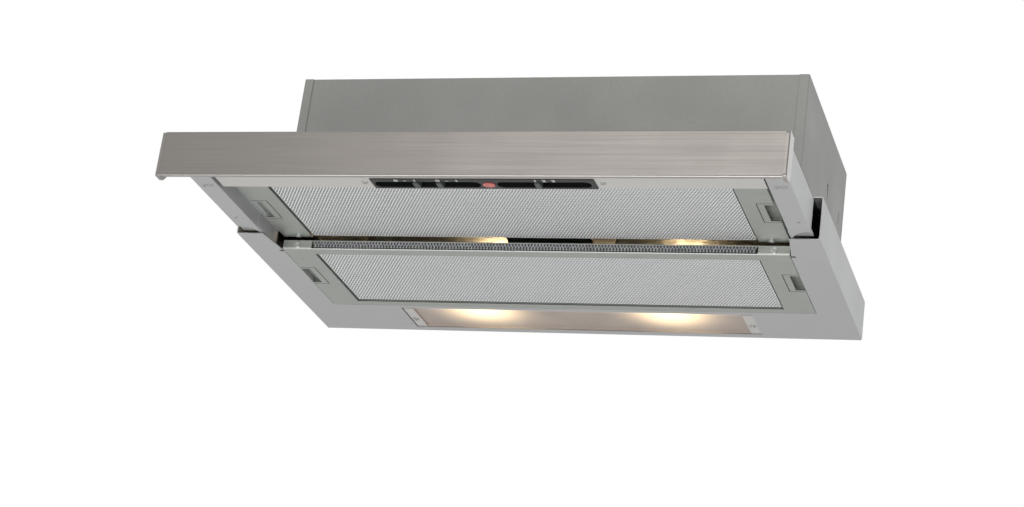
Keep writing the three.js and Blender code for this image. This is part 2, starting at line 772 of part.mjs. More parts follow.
function lampHolder(side) {
  const boxEnd = recessHalf + 5 - sheet;
  const from = bulbX + bulbLength / 2 + seatGap;
  const cup = alongX(circle(0, 0, bulbRadius + 1, 28), side * from, side * (boxEnd - 4));
  const foot = block([side * (boxEnd - 12), side * boxEnd], [-12, 12], [-14, 14]);
  return join(cup, foot);
}

function lampBulb() {
  const half = bulbLength / 2;
  const r = bulbRadius;
  return turnedX([
    [0, -half], [5, -half + 1], [r * 0.75, -half + 5], [r, -half + 14], [r, half - 26], [r * 0.8, half - 18],
    [7.5, half - 14], [7.5, half], [0, half],
  ], 28);
}

const bulbY = (-lampRecessFront - lampRecessRear) / 2;
const bulbZ = lampBoxBottom + lampBoxHeight / 2;
add('lamp_box', lampBox(), galvanised, [lampX, 0, 0]);
add('lamp_lens', lampLens(), lensPlastic, [lampX, 0, 0]);
for (const [name, side] of sides) {
  add(`lamp_holder_${name}`, lampHolder(side), whiteCeramic, [lampX, bulbY, bulbZ]);
  const bulb = add(`lamp_bulb_${name}`, lampBulb(), glass, [lampX + side * bulbX, bulbY, bulbZ]);
  if (side < 0) bulb.rotation.z = Math.PI;
}

// ---------- slides of the drawer ----------
const railMiddle = (armInner + armOuter) / 2;
const railTop = -sheet;
const railBottom = railTop - railHeight;

function fixedRail(side) {
  const mouth = runnerNeck / 2 + 1;
  const path = [
    [railMiddle - mouth, railBottom], [railMiddle - railWidth / 2, railBottom],
    [railMiddle - railWidth / 2, railTop], [railMiddle + railWidth / 2, railTop],
    [railMiddle + railWidth / 2, railBottom], [railMiddle + mouth, railBottom],
  ];
  const front = panFront + railStart;
  return alongY(onSide(side, foldedSheet(path, sheet, 0)), front, front + railLength);
}

function runner(side) {
  const headHalf = railWidth / 2 - sheet - runnerGap;
  const neckHalf = runnerNeck / 2;
  const headTop = railTop - sheet - runnerGap;
  const headBottom = railBottom + sheet + runnerGap;
  const outline = [
    [railMiddle - neckHalf, armTop], [railMiddle + neckHalf, armTop], [railMiddle + neckHalf, headBottom],
    [railMiddle + headHalf, headBottom], [railMiddle + headHalf, headTop], [railMiddle - headHalf, headTop],
    [railMiddle - headHalf, headBottom], [railMiddle - neckHalf, headBottom],
  ];
  const front = barBack + runnerStart;
  return alongY(onSide(side, outline), front, front + runnerLength);
}

// ---------- drawer ----------
const drawer = new THREE.Group();
hood.add(drawer);

// A box-section arm with the rail that the filter's latches hook over.
function drawerArm(side) {
  const slopeFoot = barTop - sheet;
  const slopeRear = barBack + armSlope;
  const outside = [
    [barBack, armBottom], [armRear, armBottom], [armRear, armTop], [slopeRear, armTop], [barBack, slopeFoot],
  ];
  const inside = [
    [barBack - 1, armBottom + sheet], [armRear + 1, armBottom + sheet], [armRear + 1, armTop - sheet],
    [slopeRear, armTop - sheet], [barBack, slopeFoot - sheet], [barBack - 1, slopeFoot - sheet],
  ];
  const tube = cut(
    alongX(outside, side * armInner, side * armOuter),
    alongX(inside, side * (armInner + sheet), side * (armOuter - sheet)),
  );
  const ledgeTop = drawerFilterBottom + bandLip;
  const railY = [crossRear + filterGap, armRear + sideRail];
  const ledge = block([side * (filterHalf + seatGap + filterGap), side * armInner],
    railY, [ledgeTop - sheet, ledgeTop]);
  const webX = [side * (armInner - sheet), side * armInner];
  const webTop = ledgeTop - sheet + sideRailHeight;
  const web = join(
    block(webX, railY, [ledgeTop - sheet, webTop]),
    block(webX, [armRear, armRear + sideRail], [armBottom + sideRailLift, webTop]),
  );
  const hole = rodZ(armHoleRadius, side * armHoleX, armHoleY, armBottom - 1, armBottom + 2 * sheet, 12);
  // The end plate carries the rear screw in a corner that is scooped from below.
  const plate = [armRear - armScoopDepth - sheet, armRear + armTongue];
  const scoopedZ = armBottom + armScoopDepth;
  const skin = cut(
    block([side * armInner, side * armOuter], plate, [armBottom, scoopedZ]),
    rodZ(armScoop, side * armOuter, plate[1] + armScoopRear, armBottom - 1, scoopedZ, 40),
  );
  const upper = block([side * armInner, side * armOuter], plate, [scoopedZ - seatGap, scoopedZ + sheet]);
  return join(cut(tube, hole), ledge, web, skin, upper);
}

function crossMember() {
  const upstand = 7;
  const path = [
    [barBack, crossBottom + 3 * upstand], [barBack, crossBottom], [crossRear, crossBottom],
    [crossRear, crossBottom + upstand],
  ];
  const channel = alongX(foldedSheet([...path].reverse()), -crossHalf, crossHalf);
  const panelFront = barBack + panelFrontGap;
  const half = panelWidth / 2 - 2;
  return channel.subtract(block([-half, half], [panelFront + 2, panelFront + panelDepth - 2],
    [crossBottom - 1, crossBottom + 2]));
}

// Roof over the drawer's filter, which leads its air back into the pan. It falls
// towards the bar, as the arms do.
function drawerCover() {
  const top = armTop - coverGap;
  const slopeRear = barBack + armSlope;
  const rear = panFront + coverTail;
  const upper = [[barBack, barTop + sheet], [slopeRear, top], [rear, top]];
  const under = upper.map(([y, z]) => [y, z - sheet]).reverse();
  const roof = alongX([...upper, ...under], -armInner, armInner);
  const flanges = sides.map(([, side]) => block([side * (armInner - sheet), side * armInner],
    [slopeRear, rear], [top - coverFlange, top]));
  return join(roof, ...flanges);
}

for (const [name, side] of sides) {
  add(`fixed_rail_${name}`, fixedRail(side), galvanised);
  add(`runner_${name}`, runner(side), galvanised, [0, 0, 0], drawer);
  add(`drawer_arm_${name}`, drawerArm(side), greySheet, [0, 0, 0], drawer);
}
add('cross_member', crossMember(), greySheet, [0, 0, 0], drawer);
add('drawer_cover', drawerCover(), greySheet, [0, 0, 0], drawer);

// ---------- front bar ----------
const fasciaHalf = barWidth / 2 - barCap;
const barBend = 1.2;

function barFascia() {
  const path = [
    [barFront + barLip, barBottom + barHem], [barFront + barLip, barBottom], [barFront, barBottom],
    [barFront, barTop], [barBack, barTop],
  ];
  const lipEnds = sides.map(([, side]) => block([side * (fasciaHalf - barLipInset), side * barWidth],
    [barFront + barHem, barBack], [barBottom - 1, barBottom + barHem + 1]));
  return cut(alongX(foldedSheet(path, sheet, barBend), -fasciaHalf, fasciaHalf), ...lipEnds);
}

function barStiffener() {
  const inner = barFront + sheet;
  const top = barTop - 3 * sheet;
  const low = crossBottom - crossLift;
  const path = [[inner, low], [barBack, low], [barBack, top], [inner, top]];
  const half = fasciaHalf - 2 * sheet;
  return alongX(foldedSheet([...path].reverse(), sheet, barBend), -half, half);
}

function barEndCap(side) {
  const r = 3;
  const outline = [
    ...arc(barFront + r, barTop - r, r, 90, 180, 4), ...arc(barFront + r, barBottom + r, r, 180, 270, 4),
    [barBack - 6, barBottom], [barBack, barBottom + 6], [barBack, barTop],
  ];
  const plate = alongX(outline, side * fasciaHalf, side * (barWidth / 2));
  const corner = barWidth / 2;
  const bevel = [[corner - 2, barFront - 1], [corner + 1, barFront - 1], [corner + 1, barFront + 2]];
  return plate.subtract(alongZ(onSide(side, bevel), barBottom - 1, barTop + 1));
}

add('bar_fascia', barFascia(), brushedSteel, [0, 0, 0], drawer);
add('bar_stiffener', barStiffener(), galvanised, [0, 0, 0], drawer);
for (const [name, side] of sides) add(`bar_end_cap_${name}`, barEndCap(side), capMetal, [0, 0, 0], drawer);

// ---------- controls ----------
const panelMiddle = barBack + panelFrontGap + panelDepth / 2;
const panelFace = crossBottom - 1;
const switchFloor = crossBottom + 5;

function controlPanel() {
  const half = panelWidth / 2;
  const face = block([-half, half], [-panelDepth / 2, panelDepth / 2], [panelFace, crossBottom]);
  const margin = 2.2;
  const body = block([-half + margin, half - margin], [-panelDepth / 2 + margin, panelDepth / 2 - margin],
    [crossBottom, switchFloor]);
  const slots = [leftSlot, rightSlot].map(([from, to]) => (
    alongZ(stadium(from, to, slotMiddle, slotRound), panelFace - 1, switchFloor + 1)
  ));
  const reach = pilotLength / 2 + seatGap;
  const window = alongZ(stadium(pilotX - reach, pilotX + reach, slotMiddle, pilotWidth + 2 * seatGap, 6),
    panelFace - 1, switchFloor + 1);
  return cut(join(face, body), ...slots, window);
}

function switchHousing() {
  const half = panelWidth / 2 - 6;
  const floor = switchFloor;
  const body = block([-half, half], [-7.5, 7.5], [floor, floor + 12]);
  const stems = Object.values(sliderXs).map((x) => block([x - sliderTravel - 3, x + sliderTravel + 3],
    [slotMiddle - sliderStem / 2 - 0.5, slotMiddle + sliderStem / 2 + 0.5], [floor - 1, floor + 6]));
  return cut(body, ...stems);
}

function sliderKnob() {
  const low = panelFace - sliderProud;
  const thick = switchFloor - seatGap - low;
  let knob = block([-sliderLength / 2, sliderLength / 2], [-sliderDepth / 2, sliderDepth / 2],
    [low, low + thick]);
  for (const x of [-1.4, 1.4]) {
    const groove = [[x - 0.7, low - 0.2], [x + 0.7, low - 0.2], [x, low + 0.8]];
    knob = knob.subtract(alongY(groove, -sliderDepth, sliderDepth));
  }
  return knob.add(block([-2, 2], [-sliderStem / 2, sliderStem / 2], [low + 2, switchFloor + 4]));
}

add('control_panel', controlPanel(), blackPlastic, [0, panelMiddle, 0], drawer);
add('switch_housing', switchHousing(), greyPlastic, [0, panelMiddle, 0], drawer);
const pilotOutline = stadium(-pilotLength / 2, pilotLength / 2, 0, pilotWidth, 6);
add('pilot_lamp', alongZ(pilotOutline, panelFace - 0.5, switchFloor - seatGap),
  pilotRed, [pilotX, panelMiddle + slotMiddle, 0], drawer);
for (const [name, x] of Object.entries(sliderXs)) {
  add(name, sliderKnob(), knobPlastic, [x, panelMiddle + slotMiddle, 0], drawer);
}

// ---------- grease filters and their latches ----------
// Local frame of a filter: its middle in X, its rear edge at y = 0, its underside at z = 0.
// Its mesh also shows on the front face. Without a rear rim it shows on the rear face too.
function filterFrameSolid(depth, latchY, [frontRim, rearRim]) {
  const window = filterHalf - endPlate;
  const top = filterThickness;
  const openTo = rearRim > 0 ? -rearRim : 1;
  const opened = cut(
    block([-filterHalf, filterHalf], [-depth, 0], [0, top]),
    block([-window, window], [-depth + frontRim, openTo], [-1, top + 1]),
    block([-window, window], [-depth - 1, openTo], [filterSkin, top + 1]),
  );
  const across = [-window - filterSkin, window + filterSkin];
  const fold = (y) => block(across, [y, y + meshReturn], [top - filterSkin, top]);
  const frame = rearRim > 0 ? opened.add(fold(-depth)) : join(opened, fold(-depth), fold(-meshReturn));
  const pockets = sides.flatMap(([, side]) => {
    const edge = side * (filterHalf + 1);
    const pocketInner = side * (filterHalf - latchWidth - latchTravel - 1);
    const slack = latchLength / 2 + seatGap;
    const finger = fingerLength / 2;
    return [
      block([pocketInner, edge], [-latchY - slack, -latchY + slack], [filterSkin, top + 1]),
      block([side * (filterHalf - fingerWidth), edge], [-latchY - finger, -latchY + finger],
        [-1, filterSkin + 1]),
      ...latchGrooves(side, latchY),
    ];
  });
  return cut(frame, ...pockets);
}

// Three pressed lines that frame a latch on the filter's underside.
function latchGrooves(side, latchY) {
  const edge = side * (filterHalf + 1);
  const line = side * (filterHalf - latchWidth - latchGroove);
  const reach = latchLength / 2 + 2 * latchGroove;
  const depth = [-1, latchGrooveDepth];
  return [
    block([line - side * latchGroove, line], [-latchY - reach, -latchY + reach], depth),
    block([line - side * latchGroove, edge], [-latchY + reach - latchGroove, -latchY + reach], depth),
    block([line - side * latchGroove, edge], [-latchY - reach, -latchY - reach + latchGroove], depth),
  ];
}

function filterMeshSolid(depth, rearRim) {
  const half = filterHalf - endPlate - meshSideGap;
  const rear = rearRim > 0 ? -rearRim - meshRearGap : -filterGap;
  return block([-half, half], [-depth + filterGap, rear], [meshRecess, filterThickness - filterSkin]);
}

function filterLatch(side) {
  const outer = filterHalf - seatGap;
  const inner = filterHalf - latchWidth;
  const half = latchLength / 2;
  const top = latchLift + latchThickness;
  const tongueBase = bandLip + seatGap;
  const lipInner = inner + 2.5;
  return join(
    block([side * inner, side * outer], [-half, half], [latchLift, top]),
    block([side * outer, side * (filterHalf + latchTongue)],
      [-latchTongueLength / 2, latchTongueLength / 2], [tongueBase, top]),
    block([side * lipInner, side * (lipInner + 2)], [-fingerLength / 2 + 1, fingerLength / 2 - 1],
      [filterSkin + seatGap, latchLift]),
  );
}

const filters = [
  ['rear_filter', hood, rearFilterRear, rearFilterDepth, panBottom, latchFromRear, rearFilterRims],
  ['drawer_filter', drawer, drawerFilterRear, drawerFilterRear - drawerFilterFront, drawerFilterBottom,
    drawerLatchFromRear, drawerFilterRims],
];
for (const [name, parent, rear, depth, bottom, latchY, rims] of filters) {
  const filter = new THREE.Group();
  filter.position.set(0, rear, bottom);
  parent.add(filter);
  add(`${name}_frame`, filterFrameSolid(depth, latchY, rims), filterFrame, [0, 0, 0], filter);
  add(`${name}_mesh`, filterMeshSolid(depth, rims[1]), filterMesh, [0, 0, 0], filter);
  for (const [sideName, side] of sides) {
    add(`${name}_latch_${sideName}`, filterLatch(side), greyPlastic, [0, -latchY, 0], filter);
  }
}

export default hood;
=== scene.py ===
# Looks of the pull-out range hood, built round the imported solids.
# Metres, the room at -Y, the wall at y = 0, z = 0 at the cabinet's underside.
import json
import math

import bmesh
import bpy
from mathutils import Matrix, Vector

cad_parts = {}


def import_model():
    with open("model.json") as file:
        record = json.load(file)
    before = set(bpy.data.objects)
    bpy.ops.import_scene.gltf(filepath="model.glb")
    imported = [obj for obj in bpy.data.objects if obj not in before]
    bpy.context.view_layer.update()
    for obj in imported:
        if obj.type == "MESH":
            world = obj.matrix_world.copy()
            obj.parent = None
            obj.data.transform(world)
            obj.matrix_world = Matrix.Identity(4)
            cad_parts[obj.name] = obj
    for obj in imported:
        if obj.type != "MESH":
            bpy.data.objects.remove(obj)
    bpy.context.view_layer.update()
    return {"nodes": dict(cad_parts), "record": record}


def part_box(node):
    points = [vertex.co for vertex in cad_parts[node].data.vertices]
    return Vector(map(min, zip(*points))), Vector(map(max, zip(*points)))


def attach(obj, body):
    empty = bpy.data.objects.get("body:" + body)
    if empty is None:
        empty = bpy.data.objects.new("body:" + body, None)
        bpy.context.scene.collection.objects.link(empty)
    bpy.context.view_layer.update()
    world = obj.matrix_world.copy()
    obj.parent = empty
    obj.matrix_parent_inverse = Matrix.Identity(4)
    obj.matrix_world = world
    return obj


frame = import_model()
nodes = frame["nodes"]
mm = 0.001


# sRGB hex to the linear values that sockets take.
def linear(hexColour):
    channels = [int(hexColour[i:i + 2], 16) / 255 for i in (1, 3, 5)]
    return [c / 12.92 if c <= 0.04045 else ((c + 0.055) / 1.055) ** 2.4 for c in channels] + [1.0]


def addNode(tree, kind, settings=None, links=None):
    node = tree.nodes.new(kind)
    for name, value in (settings or {}).items():
        if isinstance(name, int) or name in node.inputs:
            node.inputs[name].default_value = value
        else:
            setattr(node, name, value)
    for name, source in (links or {}).items():
        tree.links.new(source, node.inputs[name])
    return node


# A material with its tree, its shader and the place on the surface in Object coordinates.
def newMaterial(name, settings):
    material = bpy.data.materials.new(name)
    material.use_nodes = True
    tree = material.node_tree
    tree.nodes.clear()
    shader = addNode(tree, "ShaderNodeBsdfPrincipled", settings)
    addNode(tree, "ShaderNodeOutputMaterial", links={"Surface": shader.outputs["BSDF"]})
    place = addNode(tree, "ShaderNodeTexCoord").outputs["Object"]
    return material, tree, shader, place


def axesOf(tree, place):
    return addNode(tree, "ShaderNodeSeparateXYZ", links={"Vector": place}).outputs


# Noise whose spots are about one grain wide, in mm, stretched along each axis.
def noiseOf(tree, place, grain, detail=2.0, stretch=(1, 1, 1)):
    mapping = addNode(tree, "ShaderNodeMapping", {"Scale": [1 / (grain * mm * s) for s in stretch]},
                      {"Vector": place})
    return addNode(tree, "ShaderNodeTexNoise", {"Scale": 1.0, "Detail": detail},
                   {"Vector": mapping.outputs["Vector"]}).outputs["Fac"]


# Noise lies mostly between 0.3 and 0.7, so those two are spread to low and high.
def spread(tree, value, low=0.0, high=1.0, fromLow=0.3, fromHigh=0.7):
    return addNode(tree, "ShaderNodeMapRange", {
        "From Min": fromLow, "From Max": fromHigh, "To Min": low, "To Max": high,
    }, {"Value": value}).outputs["Result"]


def calculate(tree, operation, first, second=0.0):
    node = addNode(tree, "ShaderNodeMath", {"operation": operation})
    for socket, value in enumerate((first, second)):
        if isinstance(value, (int, float)):
            node.inputs[socket].default_value = value
        else:
            tree.links.new(value, node.inputs[socket])
    return node.outputs["Value"]


# One where the value is past the level, in mm, and zero before it.
def past(tree, value, level):
    return calculate(tree, "GREATER_THAN", value, level * mm)


def before(tree, value, level):
    return calculate(tree, "LESS_THAN", value, level * mm)


# How far a coordinate is from start, counted in units.
def counted(tree, value, start, unit):
    return calculate(tree, "DIVIDE", calculate(tree, "SUBTRACT", value, start), unit)


# Distances to the two crossing sets of strands, in cells: 0 on a strand, 0.5 in mid-cell.
def strandDistances(tree, across, along):
    return [calculate(tree, "PINGPONG", calculate(tree, crossing, across, along), 0.5)
            for crossing in ("ADD", "SUBTRACT")]


# Colours are hex text, or sockets that carry another mix.
def mixed(tree, share, first, second):
    mix = addNode(tree, "ShaderNodeMix", {"data_type": "RGBA"}, {0: share})
    for socket, colour in ((6, first), (7, second)):
        if isinstance(colour, str):
            mix.inputs[socket].default_value = linear(colour)
        else:
            tree.links.new(colour, mix.inputs[socket])
    return mix.outputs[2]


def tint(tree, shader, share, dark, light, socket="Base Color"):
    tree.links.new(mixed(tree, share, dark, light), shader.inputs[socket])


def roughen(tree, shader, value, low, high, **levels):
    tree.links.new(spread(tree, value, low, high, **levels), shader.inputs["Roughness"])


# Relief of the given depth in mm.
def bump(tree, shader, height, depth):
    node = addNode(tree, "ShaderNodeBump", {"Strength": 1.0, "Distance": depth * mm}, {"Height": height})
    tree.links.new(node.outputs["Normal"], shader.inputs["Normal"])


# Epoxy powder coat on steel: satin silver grey, with a faint orange peel. Its metallic flecks
# are finer than a pixel, and are drawn half a millimetre wide, as coarse as they need to show.
def silverPowderCoat(name, dark, light):
    material, tree, shader, place = newMaterial(name, {"Metallic": 0.45, "Roughness": 0.42, "IOR": 1.5})
    flecks = noiseOf(tree, place, grain=0.5, detail=1)
    clouds = noiseOf(tree, place, grain=90)
    mottle = calculate(tree, "ADD", spread(tree, flecks, high=0.7), spread(tree, clouds, high=0.3))
    tint(tree, shader, mottle, dark, light)
    roughen(tree, shader, clouds, 0.38, 0.48)
    bump(tree, shader, noiseOf(tree, place, grain=1.6, detail=1), depth=0.012)
    return material


# Pre-painted steel coil: flatter and a shade darker than the pan, with the same fine grain.
def coilPaint():
    material, tree, shader, place = newMaterial("coilPaint", {
        "Metallic": 0.35, "Roughness": 0.5, "IOR": 1.5})
    flecks = noiseOf(tree, place, grain=0.6, detail=1)
    tint(tree, shader, spread(tree, flecks), "#838480", "#8f908c")
    roughen(tree, shader, noiseOf(tree, place, grain=70), 0.46, 0.56)
    bump(tree, shader, noiseOf(tree, place, grain=1.8, detail=1), depth=0.01)
    return material


barColours = {"dark": "#797571", "light": "#837f7b",
              "lip": "#b8b3b0", "lipLevel": -63.4,  # the fold under the bar is below this level, in mm
              "cap": "#b4b3b2", "capLight": "#c2c1c0", "frontFace": -451.9}


# Stainless steel, belt-brushed along the bar: fine streaks that soften its reflections. The fold
# under the bar carries a painted highlight, and the caps on the bar's ends are paler at their sides.
def brushedStainless(name, dark, light, onFront=None):
    material, tree, shader, place = newMaterial(name, {"Metallic": 1.0, "Roughness": 0.34})
    streaks = noiseOf(tree, place, grain=0.35, stretch=(300, 1, 1))
    hairlines = noiseOf(tree, place, grain=0.9, detail=1, stretch=(180, 1, 1))
    smudges = noiseOf(tree, place, grain=55, detail=3)
    axes = axesOf(tree, place)
    body = mixed(tree, spread(tree, streaks), dark, light)
    if onFront:
        body = mixed(tree, past(tree, axes["Y"], barColours["frontFace"]), onFront, body)
    # The fold under the bar, below the lip level, is painted with a highlight.
    tint(tree, shader, past(tree, axes["Z"], barColours["lipLevel"]), barColours["lip"], body)
    rough = calculate(tree, "ADD", spread(tree, hairlines, 0.28, 0.34), spread(tree, smudges, high=0.05))
    tree.links.new(rough, shader.inputs["Roughness"])
    bump(tree, shader, streaks, depth=0.0015)
    return material


# Hot-dip galvanised sheet: grey zinc with crystals about a centimetre across.
def galvanisedSteel():
    material, tree, shader, place = newMaterial("galvanisedSteel", {"Metallic": 0.9, "Roughness": 0.42})
    crystalWidth = 11 * mm
    mapping = addNode(tree, "ShaderNodeMapping", {"Scale": [1 / crystalWidth] * 3}, {"Vector": place})
    crystals = addNode(tree, "ShaderNodeTexVoronoi", {"Scale": 1.0, "Randomness": 1.0},
                       {"Vector": mapping.outputs["Vector"]})
    shade = addNode(tree, "ShaderNodeSeparateColor", links={"Color": crystals.outputs["Color"]})
    tint(tree, shader, shade.outputs["Red"], "#a7abac", "#c3c7c7")
    roughen(tree, shader, shade.outputs["Green"], 0.34, 0.5, fromLow=0, fromHigh=1)
    bump(tree, shader, noiseOf(tree, place, grain=0.8), depth=0.004)
    return material


# Phosphated steel of the slides: near black and dull, greyer where the runners rub.
def blackenedSteel():
    material, tree, shader, place = newMaterial("blackenedSteel", {"Metallic": 0.7, "Roughness": 0.5})
    rub = noiseOf(tree, place, grain=4, stretch=(1, 30, 1))
    tint(tree, shader, spread(tree, rub), "#1f2021", "#3b3c3e")
    roughen(tree, shader, rub, 0.55, 0.4)
    return material


# Levels of the filter frames, in mm: where their undersides are, how far over them the pressed
# lines of painted shade lie, and the front lower edge of the rear frame, with its painted highlight.
framePaintedLight = {"undersides": (-44, -31), "lineRise": 0.55, "lineReach": 0.3,
             "front": -228.1, "edgeTop": -42.4}


# Anodised aluminium of the filter frames: satin, a little green-grey, drawn along X. Painted shade
# darkens the pressed lines, and a painted highlight lies along the rear frame's front lower edge.
def anodisedAluminium():
    material, tree, shader, place = newMaterial("anodisedAluminium", {"Metallic": 0.75, "Roughness": 0.4})
    drawn = noiseOf(tree, place, grain=0.5, detail=1, stretch=(60, 1, 1))
    axes = axesOf(tree, place)
    # Painted shade along the pressed lines just over each underside.
    paintedShadeLines = None
    for underside in framePaintedLight["undersides"]:
        floor = calculate(tree, "SUBTRACT", axes["Z"], (underside + framePaintedLight["lineRise"]) * mm)
        here = before(tree, calculate(tree, "ABSOLUTE", floor), framePaintedLight["lineReach"])
        paintedShadeLines = here if paintedShadeLines is None else calculate(tree, "MAXIMUM", paintedShadeLines, here)
    body = mixed(tree, spread(tree, drawn), "#a3a6a1", "#b0b3ae")
    withPaintedShade = mixed(tree, paintedShadeLines, body, "#4c4e4a")
    # A painted highlight along the rear frame's front lower edge.
    paintedHighlight = calculate(tree, "MULTIPLY", before(tree, axes["Y"], framePaintedLight["front"]),
                       before(tree, axes["Z"], framePaintedLight["edgeTop"]))
    tint(tree, shader, paintedHighlight, withPaintedShade, "#f4f5f2")
    roughen(tree, shader, noiseOf(tree, place, grain=40), 0.36, 0.46)
    bump(tree, shader, drawn, depth=0.004)
    return material


# Colours of the lit strands, and the darker colour of the crossing strands, which is painted shade.
strandLitAndShaded = {"bright": "#f6f7f7", "brightDull": "#e6e7e7", "rolled": "#cdcfd0"}


# Bright aluminium of the expanded net. The strands that run to the front right are lit, and those
# across them are a darker copy in painted shade, as if turned from the light. Corner and cell are in
# metres.
def brightAluminium(name, corner, cell):
    material, tree, shader, place = newMaterial(name, {"Metallic": 0.45, "Roughness": 0.33})
    axes = axesOf(tree, place)
    toLitStrands, toShadedStrands = strandDistances(tree, counted(tree, axes["X"], corner[0], cell[0]),
                                         counted(tree, axes["Y"], corner[1], cell[1]))
    # The crossing strands take the darker colour: painted shade.
    onShadedStrands = calculate(tree, "LESS_THAN", toShadedStrands, toLitStrands)
    strand = mixed(tree, spread(tree, noiseOf(tree, place, grain=3)),
                   strandLitAndShaded["brightDull"], strandLitAndShaded["bright"])
    tint(tree, shader, onShadedStrands, strand, strandLitAndShaded["rolled"])
    roughen(tree, shader, noiseOf(tree, place, grain=25), 0.3, 0.4)
    return material


# One cell of the expanded metal, in mm, as measured in the photograph.
netCell = {"x": 3.28, "y": 5.65}
stackedLayers = {"hole": "#4a4b4c", "strand": "#d2d4d5", "lean": 0.8, "strandEdge": (0.06, 0.18)}


# Stacked layers of expanded aluminium behind the net: crossing strands, with painted shade between
# them. The pattern leans with height, so that it also runs over the upright sides of the layers.
def stackedMesh():
    material, tree, shader, place = newMaterial("stackedMesh", {"Metallic": 0.5, "Roughness": 0.5})
    axes = axesOf(tree, place)
    leaning = calculate(tree, "MULTIPLY", axes["Z"], stackedLayers["lean"])
    across = calculate(tree, "DIVIDE", axes["X"], netCell["x"] * mm)
    along = calculate(tree, "DIVIDE", calculate(tree, "ADD", axes["Y"], leaning), netCell["y"] * mm)
    nearest = calculate(tree, "MINIMUM", *strandDistances(tree, across, along))
    strands = spread(tree, nearest, 1.0, 0.0, *stackedLayers["strandEdge"])
    loose = calculate(tree, "MULTIPLY", strands, spread(tree, noiseOf(tree, place, grain=2.2), low=0.4))
    # The dark colour between the strands is painted shade.
    tint(tree, shader, loose, stackedLayers["hole"], stackedLayers["strand"])
    bump(tree, shader, strands, depth=0.4)
    return material


# Black ABS, moulded with a fine spark-eroded texture.
def blackAbs(name, dark, light, shine):
    material, tree, shader, place = newMaterial(name, {
        "Roughness": 0.36, "IOR": 1.53, "Specular IOR Level": shine})
    grit = noiseOf(tree, place, grain=0.3, detail=1)
    tint(tree, shader, spread(tree, noiseOf(tree, place, grain=20)), dark, light)
    roughen(tree, shader, grit, 0.32, 0.46)
    bump(tree, shader, grit, depth=0.01)
    return material


# Grey polypropylene, moulded: soft sheen and faint flow marks.
def greyPolypropylene():
    material, tree, shader, place = newMaterial("greyPolypropylene", {"Roughness": 0.45, "IOR": 1.49})
    flow = noiseOf(tree, place, grain=14, stretch=(3, 1, 1))
    tint(tree, shader, spread(tree, flow), "#686b64", "#767a72")
    bump(tree, shader, noiseOf(tree, place, grain=0.4, detail=1), depth=0.008)
    return material


# Dark grey ABS of the slider knobs, polished by fingers on the ridges.
def knobAbs():
    material, tree, shader, place = newMaterial("knobAbs", {"Roughness": 0.38, "IOR": 1.53})
    tint(tree, shader, spread(tree, noiseOf(tree, place, grain=3)), "#414244", "#4d4e50")
    roughen(tree, shader, noiseOf(tree, place, grain=2), 0.3, 0.45)
    return material


# Milky red polycarbonate of the pilot lamp, faintly lit from inside.
def redPolycarbonate():
    material, tree, shader, place = newMaterial("redPolycarbonate", {
        "Roughness": 0.18, "IOR": 1.58, "Coat Weight": 0.4, "Emission Strength": 0.12})
    glow = spread(tree, noiseOf(tree, place, grain=3))
    tint(tree, shader, glow, "#9c4640", "#b25650")
    tint(tree, shader, glow, "#8a1d12", "#e0583c", "Emission Color")
    return material


# The lens's middle, tabs and front edge with its painted shadow, and the painted glow of each bulb on it,
# in mm.
lampGlow = {"middle": 3.5, "tabFrom": 179.5, "edge": -63.0,
            "bulbs": (-98, 106), "bulbLine": -60, "halfLength": 34, "halfDepth": 30, "power": 2.0}


# Frosted polycarbonate lens: beige where it is unlit, with a painted glow, the warm bloom of a bulb, over
# each lamp. Its end tabs are paler, and its front edge carries a painted shadow.
def frostedLens():
    material, tree, shader, place = newMaterial("frostedLens", {
        "Roughness": 0.3, "IOR": 1.58, "Coat Weight": 0.25, "Coat Roughness": 0.12,
        "Emission Color": linear("#ffdfae")})
    axes = axesOf(tree, place)
    frosted = mixed(tree, spread(tree, noiseOf(tree, place, grain=35)), "#8f8178", "#9c8d82")
    offMiddle = calculate(tree, "ABSOLUTE", calculate(tree, "SUBTRACT", axes["X"], lampGlow["middle"] * mm))
    tabbed = mixed(tree, past(tree, offMiddle, lampGlow["tabFrom"]), frosted, "#aeaba7")
    # A painted shadow along the front edge of the lens.
    tint(tree, shader, before(tree, axes["Y"], lampGlow["edge"]), tabbed, "#4f433b")
    along = counted(tree, axes["Y"], lampGlow["bulbLine"] * mm, lampGlow["halfDepth"] * mm)
    # The painted glow of each bulb, emitted by the lens itself.
    blooms = None
    for bulb in lampGlow["bulbs"]:
        across = counted(tree, axes["X"], bulb * mm, lampGlow["halfLength"] * mm)
        square = calculate(tree, "ADD", calculate(tree, "POWER", across, 2),
                           calculate(tree, "POWER", along, 2))
        bloom = calculate(tree, "EXPONENT", calculate(tree, "MULTIPLY", square, -1.0))
        blooms = bloom if blooms is None else calculate(tree, "ADD", blooms, bloom)
    power = calculate(tree, "MULTIPLY", blooms, lampGlow["power"])
    tree.links.new(power, shader.inputs["Emission Strength"])
    bump(tree, shader, noiseOf(tree, place, grain=1.2), depth=0.02)
    return material


# Glass bulb with a warm filament light inside.
def litGlass():
    material, tree, shader, place = newMaterial("litGlass", {
        "Roughness": 0.1, "IOR": 1.5, "Transmission Weight": 0.5, "Emission Strength": 0.9})
    glow = spread(tree, noiseOf(tree, place, grain=12))
    tint(tree, shader, glow, "#f4e2c0", "#fff3d8")
    tint(tree, shader, glow, "#ffc877", "#ffe0a6", "Emission Color")
    return material


